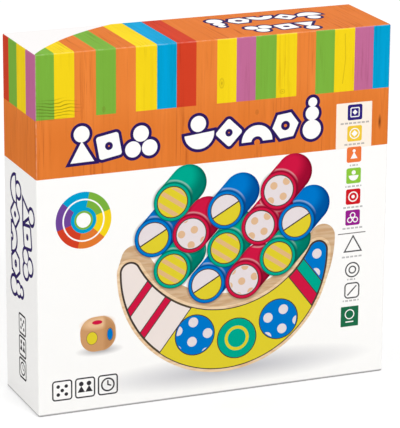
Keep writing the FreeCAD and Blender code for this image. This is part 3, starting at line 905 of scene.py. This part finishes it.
def paintDie(panel):
    # a small wooden cube with round corners and dots
    x, z = printedDie["middle"]

    def oval(place, half, turn=0.0):
        return panel.oval((x + place[0], z + place[1]), half, turn)

    panel.lay(oval(*printedDie["shadow"]), printedDie["shadowInk"], 0, 3.0, 0.6)
    body = panel.slab((x, z), printedDie["half"], printedDie["corner"], printedDie["turn"])
    panel.lay(body, printedDie["wood"])
    panel.lay(oval(*printedDie["lit"]), printedDie["litInk"], 0, 3.0)
    side = panel.most(body + 0.4, (x + printedDie["dark"]) - panel.across)
    panel.lay(side, printedDie["darkInk"], 0, 2.5, 0.8)
    panel.lay(oval(*printedDie["topSpot"]), ink["crimson"])
    for place, half, name in printedDie["spots"]:
        panel.outlined(oval(place, half), ink[name], printedDie["spotLine"], 0.3)


def paintBadges(panel, places, width):
    # three outlined squares with a sign in each
    for at, parts in zip(places, badges["signs"]):
        panel.lay(panel.border(at, badges["half"], badges["corner"], width), badges["ink"])
        panel.sign(at, parts, badges["ink"])


def makeFront():
    panel = Panel("frontPrint", "+X", "Z", ink["white"])
    layBand(panel, "front")
    paintFlaws(panel)
    paintStrip(panel)
    layTitle(panel, title["onFront"])
    paintEmblem(panel)
    paintDie(panel)
    paintPicture(panel)
    paintBadges(panel, badges["onFront"], badges["width"])
    return closeWall(panel, "front")


def makeSide(name, across):
    panel = Panel(name, across, "Z", ink["white"])
    layBand(panel, "side", 0.5, 0.3)
    layTitle(panel, title["onSide"], title["sideInkWidth"])
    paintBadges(panel, badges["onSide"], badges["sideWidth"])
    return closeWall(panel, "side")


# the white corner of the top: the circle that cuts it off, where it and the stripes end, and its white,
# greyer than the front's as painted shade
topCorner = {"middle": (37.7, -148.5), "radius": 200.2, "end": -40.0, "lastStripe": -15.0,
             "ink": shade(244, 241, 240)}


def makeTop():
    panel = Panel("topPrint", "+X", "Y", ink["white"])
    lined, cover = stripeColour(panel, "front", topCorner["lastStripe"])
    panel.colour = woodPrint(panel, panel.mix(cover, ink["orange"], lined), "Y", 0.9)
    curve = -panel.disc(topCorner["middle"], topCorner["radius"])
    # the white corner, in a greyer white that paints the top's shade
    panel.lay(panel.most(curve, panel.across - topCorner["end"]), topCorner["ink"])
    layTitle(panel, title["onTop"])
    foldWearAndHighlight(panel, panel.least(stripes["front"][0] - abs(panel.across), panel.up + stripes["side"][0]))
    return closePrint(panel)


def makePlainPaper():
    paper = Finish("bottomPaper")
    cloud = paper.noise(20.0, 3.0, 0.6)
    colour = paper.tinted(ink["white"], shade(214, 208, 200), cloud, 0.3, 0.7, 0.12)
    return paper.close(colour, 0.5 + (cloud - 0.5) * 0.15, paper.noise(laminate["fibre"], 2.0, 0.6),
                       laminate["bump"], laminate["depth"], 0.2)


def pulp(finish):
    # cloudy pulp board
    cloud = finish.noise(7.0, 3.0, 0.6)
    return finish.tinted(ink["board"], ink["fleck"], cloud, 0.25, 0.75, 0.5), cloud


def makeLining():
    # pulp board with short fibres and specks
    board = Finish("lining")
    colour, cloud = pulp(board)
    fibre = board.noise(0.5, 2.0, 0.6, (4.0, 1.0, 2.0), 0.6)
    colour = board.tinted(colour, shade(120, 108, 92), fibre, 0.6, 0.72, 0.35)
    return board.close(colour, 0.85 + (cloud - 0.5) * 0.1, fibre, 0.35, 0.06)


lidFinishes = {
    "front": makeFront(),
    "left": makeSide("leftPrint", "-Y"),
    "right": makeSide("rightPrint", "+Y"),
    "top": makeTop(),
    "paper": makePlainPaper(),
    "board": makeLining(),
}
print("lid printed:", len(lidFinishes["front"].node_tree.nodes), "nodes on its front")


# where each face of the lid lies on its baking sheet: left, low, wide, tall as shares of it,
# with most of the room for the printed face
sheetPlaces = {
    "front": (0.004, 0.004, 0.695, 0.682),
    "top": (0.004, 0.694, 0.695, 0.183),
    "bottom": (0.004, 0.885, 0.695, 0.108),
    "left": (0.707, 0.004, 0.183, 0.682),
    "right": (0.898, 0.004, 0.098, 0.682),
    "hollow": (0.707, 0.694, 0.19, 0.19),
    "innerTop": (0.707, 0.892, 0.19, 0.045),
    "innerBottom": (0.707, 0.945, 0.19, 0.045),
    "innerLeft": (0.905, 0.694, 0.04, 0.19),
    "innerRight": (0.953, 0.694, 0.04, 0.19),
}


def sheetPlace(face):
    # the place on the sheet and the two axes that lie along it; an inner wall looks the other way
    low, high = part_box("lid")
    normal, middle = face.normal, face.center
    if abs(normal.y) > facing:
        return ("front" if normal.y < 0 else "hollow"), (0, 2)
    depth = min(middle.x - low.x, high.x - middle.x, middle.z - low.z, high.z - middle.z)
    inner = depth > lid["board"] * mm / 2
    if abs(normal.x) > abs(normal.z):
        place, axes = ("left" if (normal.x < 0) != inner else "right"), (1, 2)
    else:
        place, axes = ("top" if (normal.z > 0) != inner else "bottom"), (0, 1)
    return ("inner" + place.capitalize() if inner else place), axes


def dressLid(piece):
    # each face takes its print by where it looks; the inside is board, but for the turned-in paper
    low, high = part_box("lid")
    size = high - low
    turnedIn = high.y - (lid["turnIn"] + 0.2) * mm
    names = list(lidFinishes)
    for name in names:
        piece.data.materials.append(lidFinishes[name])
    sheet = piece.data.uv_layers.new(name="OFBake")
    for face in piece.data.polygons:
        place, axes = sheetPlace(face)
        left, foot, wide, tall = sheetPlaces[place]
        for corner in face.loop_indices:
            point = piece.data.vertices[piece.data.loops[corner].vertex_index].co - low
            sheet.data[corner].uv = (left + wide * point[axes[0]] / size[axes[0]],
                                     foot + tall * point[axes[1]] / size[axes[1]])
        if place not in names:
            place = "paper" if place == "bottom" or face.center.y > turnedIn else "board"
        face.material_index = names.index(place)


dressLid(lidPiece)
print("lid dressed")

# the wooden pieces: copies of the solids with softly rounded edges, painted or bare

joinery = {"flat": math.radians(0.2), "sharp": math.radians(35)}    # turns between two faces


def softened(node, name, radius, steps, least=30):
    # the solid's own form, its edges rounded where two faces meet at more than least degrees
    made = bmesh.new()
    made.from_mesh(nodes[node].data)
    bmesh.ops.remove_doubles(made, verts=made.verts, dist=1e-6)
    bmesh.ops.dissolve_limit(made, angle_limit=joinery["flat"], verts=made.verts, edges=made.edges)
    bmesh.ops.recalc_face_normals(made, faces=made.faces)
    sharp = [edge for edge in made.edges
             if edge.is_manifold and edge.calc_face_angle() > math.radians(least)]
    bmesh.ops.bevel(made, geom=sharp, offset=radius * mm, offset_type="OFFSET", segments=steps,
                    profile=0.5, affect="EDGES", clamp_overlap=True)
    bmesh.ops.recalc_face_normals(made, faces=made.faces)
    mesh = bpy.data.meshes.new(name)
    made.to_mesh(mesh)
    made.free()
    mesh.shade_smooth()
    mesh.set_sharp_from_angle(angle=joinery["sharp"])
    piece = bpy.data.objects.new(name, mesh)
    scene.collection.objects.link(piece)
    return piece


def beech(finish, along="X"):
    # bare beech: long grain, short dark rays and a little cloud
    grain = finish.streaks(2.4, 60.0, along, 3.0, 0.55, 0.5)
    rays = finish.streaks(0.7, 5.0, along, 2.0, 0.6)
    cloud = finish.noise(18.0)
    colour = finish.tinted(ink["wood"], shade(198, 154, 108), grain, 0.35, 0.7, 0.5)
    colour = finish.tinted(colour, shade(160, 112, 74), rays, 0.62, 0.74, 0.55)
    return finish.tinted(colour, shade(240, 212, 176), cloud, 0.4, 0.75, 0.25), grain


def makeBareWood(name):
    finish = Finish(name)
    colour, grain = beech(finish)
    return finish.close(colour, 0.55 + (grain - 0.5) * 0.2, grain, 0.25, 0.08, 0.3)


def makePaint(name, colour, deep):
    # lacquer that lets the grain be felt, deeper in soft clouds and along the grain
    finish = Finish(name)
    grain = finish.noise(1.6, 3.0, 0.55, (1, 22.0, 1), 0.4)
    cloud = finish.noise(16.0)
    tone = finish.tinted(colour, deep, cloud, 0.3, 0.75, 0.35)
    tone = finish.tinted(tone, deep, grain, 0.66, 0.78, 0.25)
    return finish.close(tone, 0.3 + (cloud - 0.5) * 0.15, grain, 0.16, 0.05, 0.45)


stackers = {
    "rounding": 1.4, "steps": 3, "columns": 4,
    "faceInset": 3.2, "pattern": 11.0,
    # each colour's paint and a deeper one
    "paints": {
        "green": ("teal", shade(0, 112, 92)),
        "blue": ("azure", shade(0, 74, 146)),
        "red": ("crimson", shade(142, 12, 44)),
    },
}


def makeEnd(colour, name, deep):
    # the printed end of a stacking piece: every column has one at the same height
    low, high = corners(f"stacker_{colour}_1")
    pitch = corners(f"stacker_{colour}_2")[0].x - low.x
    panel = Panel(colour + "End", "+X", "Z", ink[name], pitch, (0, (low.z + high.z) / 2))
    radius = (high.x - low.x) / 2 - stackers["faceInset"]
    apart = panel.vector("LENGTH", panel.vector("MULTIPLY", panel.spot, (1, radius / (radius + 1), 0)))
    if name == "azure":
        pattern = panel.along((0, 0), 0.5)[1]
    else:
        pattern = endPattern(panel, name, stackers["pattern"])
    paintPiece(panel, name, apart, radius, pattern)
    grain = panel.noise(1.2, 3.0, 0.6, (8.0, 1, 1), 0.5)
    colour = panel.tinted(panel.colour, deep, grain, 0.6, 0.75, 0.15)
    return panel.close(colour, 0.42 + (grain - 0.5) * 0.15, grain, 0.18, 0.05, 0.35)


def endsAndSides(piece, side, end):
    # flat ends look along Y, everything else is side
    piece.data.materials.append(side)
    piece.data.materials.append(end)
    for face in piece.data.polygons:
        face.material_index = 1 if abs(face.normal.y) > 0.95 else 0


for colour, (name, deep) in stackers["paints"].items():
    side = makePaint(colour + "Paint", ink[name], deep)
    end = makeEnd(colour, name, deep)
    for column in range(1, stackers["columns"] + 1):
        node = f"stacker_{colour}_{column}"
        piece = softened(node, node + "_wood", stackers["rounding"], stackers["steps"])
        endsAndSides(piece, side, end)
        settle(piece, node)
print("stacking pieces made")

rocker = {"rounding": 0.7, "steps": 2, "dish": 34.0, "horn": 11.0, "margin": 2.2}


def makeRocker():
    piece = softened("rocker", "rocker_plank", rocker["rounding"], rocker["steps"], 25)
    low, high = corners("rocker")
    form = {"foot": ((low.x + high.x) / 2, low.z), "width": high.x - low.x, "tall": high.z - low.z,
            "dish": rocker["dish"], "horn": rocker["horn"]}
    panel = Panel("rockerFace", "+X", "Z", ink["wood"])
    panel.colour, grain = beech(panel)
    paintRocker(panel, form, rocker["margin"])
    rubbed = panel.noise(1.5, 3.0, 0.6, (14.0, 1, 1), 0.4)
    colour = panel.tinted(panel.colour, ink["wood"], rubbed, 0.62, 0.76, 0.14)
    face = panel.close(colour, 0.4 + (grain - 0.5) * 0.15, grain, 0.2, 0.06, 0.35)
    endsAndSides(piece, makeBareWood("bareBeech"), face)
    settle(piece, "rocker")


makeRocker()
print("rocker made")

die = {"rounding": 1.1, "steps": 3, "spot": 6.2, "paintDepth": 0.6}


def makeDie():
    piece = softened("die", "die_cube", die["rounding"], die["steps"], 25)
    low, high = corners("die")
    middle, half = (low + high) / 2, (high.x - low.x) / 2
    finish = Panel("dieWood", "+X", "Z", ink["wood"])
    finish.colour, grain = beech(finish, "Z")
    way = finish.vector("SUBTRACT", finish.scaled, tuple(middle))
    for axis, name in ((1, "teal"), (0, "azure"), (2, "crimson")):
        # a painted spot on two opposite faces: near the axis, and out at the face
        unit = tuple(float(axis == other) for other in range(3))
        out = abs(finish.vector("DOT_PRODUCT", way, unit))
        flat = finish.vector("LENGTH", finish.vector("MULTIPLY", way, tuple(1 - part for part in unit)))
        spot = finish.most(flat - die["spot"], (half - die["paintDepth"]) - out)
        finish.lay(spot, ink["line"], 0.35)
        finish.lay(spot, ink[name], -0.1)
    cube = finish.close(finish.colour, 0.5 + (grain - 0.5) * 0.2, grain, 0.22, 0.06, 0.3)
    piece.data.materials.append(cube)
    settle(piece, "die")


makeDie()
print("die made")

# card and paper: these solids have the right shape, so only their finish is made here


def dressNode(name, finish):
    for slot in nodes[name].material_slots:
        slot.material = finish


tray = {"paper": 0.8, "soft": 0.05}    # how deep the outer paper's print reaches, and its soft edge


def makeTray():
    # white paper outside, with the lid's band of stripes carried on across the back, and board inside
    low, high = corners("base_tray")
    paper, soft = tray["paper"], tray["soft"]
    panel = Panel("trayPaper", "-X", "Z", ink["white"])
    layBand(panel, "front")
    parts = panel.vector("ABSOLUTE", panel.vector("SUBTRACT", panel.scaled, (0, 0, (low.z + high.z) / 2)))
    wide = panel.vector("DOT_PRODUCT", parts, (1, 0, 0)) - (high.x - paper)
    tall = panel.vector("DOT_PRODUCT", parts, (0, 0, 1)) - ((high.z - low.z) / 2 - paper)
    along = panel.vector("DOT_PRODUCT", panel.scaled, (0, 1, 0))
    deep = along - (high.y - paper)
    panel.colour = panel.mix(panel.above(deep, 0, soft), ink["white"], panel.colour)
    outside = panel.above(panel.most(wide, tall, deep), 0, soft)
    board = pulp(panel)[0]
    rim = low.y + lid["turnIn"]
    turnedIn = panel.between(along, rim + 0.1, rim, False)
    panel.colour = panel.mix(outside, panel.mix(turnedIn, board, ink["white"]), panel.colour)
    return closePrint(panel)


dressNode("base_tray", makeTray())

leaflet = {
    "paper": shade(246, 244, 238),
    # blocks of print: place from the leaflet's middle, half size, corner
    "banner": ((0, 57), (46, 10.5), 2.0),
    "field": ((0, 20), (46, 20.0), 2.0),
    "text": ((0, -38.0), (46, 29.0), 0.5),
    "lines": (-64.0, 6.0),       # the lowest line, and the pitch
    "bowl": ((0, 24), 17.0),
    "discs": [("disc", (x, 29.5), 5.0) for x in (-11, 0, 11)],
}


def makeLeaflet():
    low, high = corners("rules_leaflet")
    middle = ((low.x + high.x) / 2, (low.z + high.z) / 2)
    panel = Panel("leafletPrint", "+X", "Z", leaflet["paper"], None, middle)
    panel.lay(panel.slab(*leaflet["banner"]), ink["orange"])
    panel.lay(panel.slab(*leaflet["field"]), ink["mustard"])
    panel.lay(panel.bowl(*leaflet["bowl"]), ink["white"])
    panel.outlined(panel.drawn((0, 0), leaflet["discs"]), ink["teal"], ink["line"], 0.5)
    lines = abs(panel.row(panel.up, *leaflet["lines"])) - 0.7
    panel.lay(panel.most(lines, panel.slab(*leaflet["text"])), ink["grey"], strength=0.6)
    fibre = panel.noise(0.4, 2.0, 0.6)
    return panel.close(panel.colour, 0.6 + (fibre - 0.5) * 0.1, fibre, 0.15, 0.02, 0.25)


dressNode("rules_leaflet", makeLeaflet())

insertCard = {"flute": 2.4, "card": shade(236, 232, 224), "cloud": shade(220, 214, 203),
              "groove": shade(196, 190, 178)}


def makeCard():
    # white fluted card: the flutes run upwards and show as faint lines
    card = Finish("insertCard")
    cloud = card.noise(9.0, 3.0, 0.6)
    fibre = card.noise(0.5, 2.0, 0.6, (1.0, 1.0, 4.0), 0.5)
    across = card.vector("DOT_PRODUCT", card.place, (2 * math.pi / (insertCard["flute"] * mm), 0, 0))
    flute = card.maths("SINE", across) * 0.5 + 0.5
    tone = card.tinted(insertCard["card"], insertCard["cloud"], cloud, 0.25, 0.75, 0.4)
    tone = card.mix(flute * 0.16, tone, insertCard["groove"])
    return card.close(tone, 0.8 + (cloud - 0.5) * 0.1, flute + fibre * 0.6, 0.3, 0.08)


dressNode("insert", makeCard())
print("card and paper dressed")
